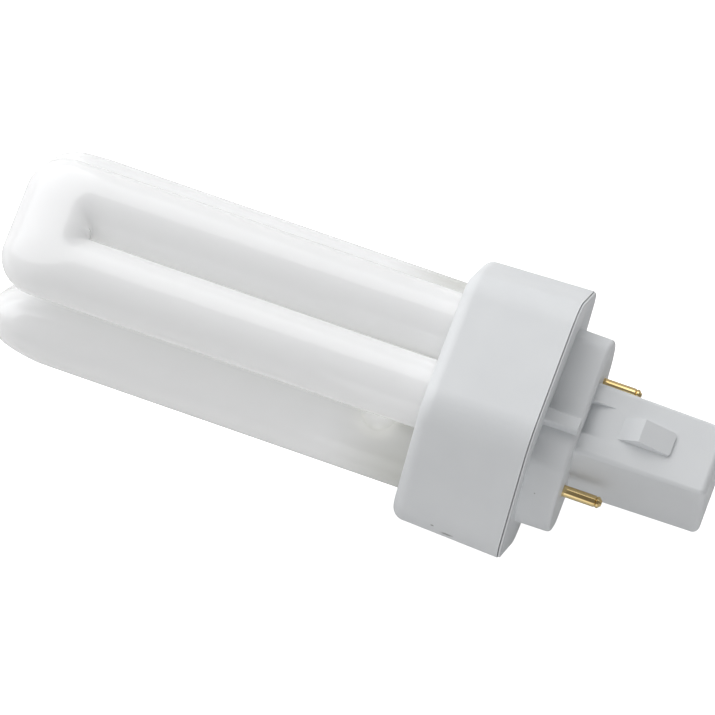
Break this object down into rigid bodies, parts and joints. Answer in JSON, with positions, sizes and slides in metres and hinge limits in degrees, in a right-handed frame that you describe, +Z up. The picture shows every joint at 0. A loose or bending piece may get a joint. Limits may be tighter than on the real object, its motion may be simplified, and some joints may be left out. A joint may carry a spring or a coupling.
{
  "type": "plug-in compact fluorescent lamp",
  "caption": "Plug-in compact fluorescent lamp: bent white glass tubes stand side by side in a six-sided collar with a keyed plug base, brass contact pins and a latching post.",
  "frame": {"origin": "On the lamp axis, in the flat face of the base that the contact pins stand out of", "axes": "+X along the lamp axis from the glass to the post, +Z up and square to one latch face of the post, the contact pins apart along Y"},
  "size_m": [0.1242, 0.0498, 0.0452],
  "materials": {
    "coated_glass": "clear glossy glass, opaque white from the phosphor coating inside",
    "white_plastic": "smooth moulded plastic with a soft sheen",
    "cement": "dull set cement",
    "pin_brass": "turned and bright",
    "starter_glass": "clear blown glass",
    "capacitor_dip": "dipped resin",
    "lead_wire": "drawn and tinned"
  },
  "bodies": {
    "root": {"discharge_tube": "coated_glass", "base_collar": "white_plastic", "fixing_cement": "cement", "base_cap": "white_plastic", "contact_pin_left": "pin_brass", "contact_pin_right": "pin_brass", "glow_starter": "starter_glass", "suppression_capacitor": "capacitor_dip", "pin_lead_left": "lead_wire", "pin_lead_right": "lead_wire", "starter_lead_left": "lead_wire", "starter_lead_right": "lead_wire"}
  },
  "joints": []
}
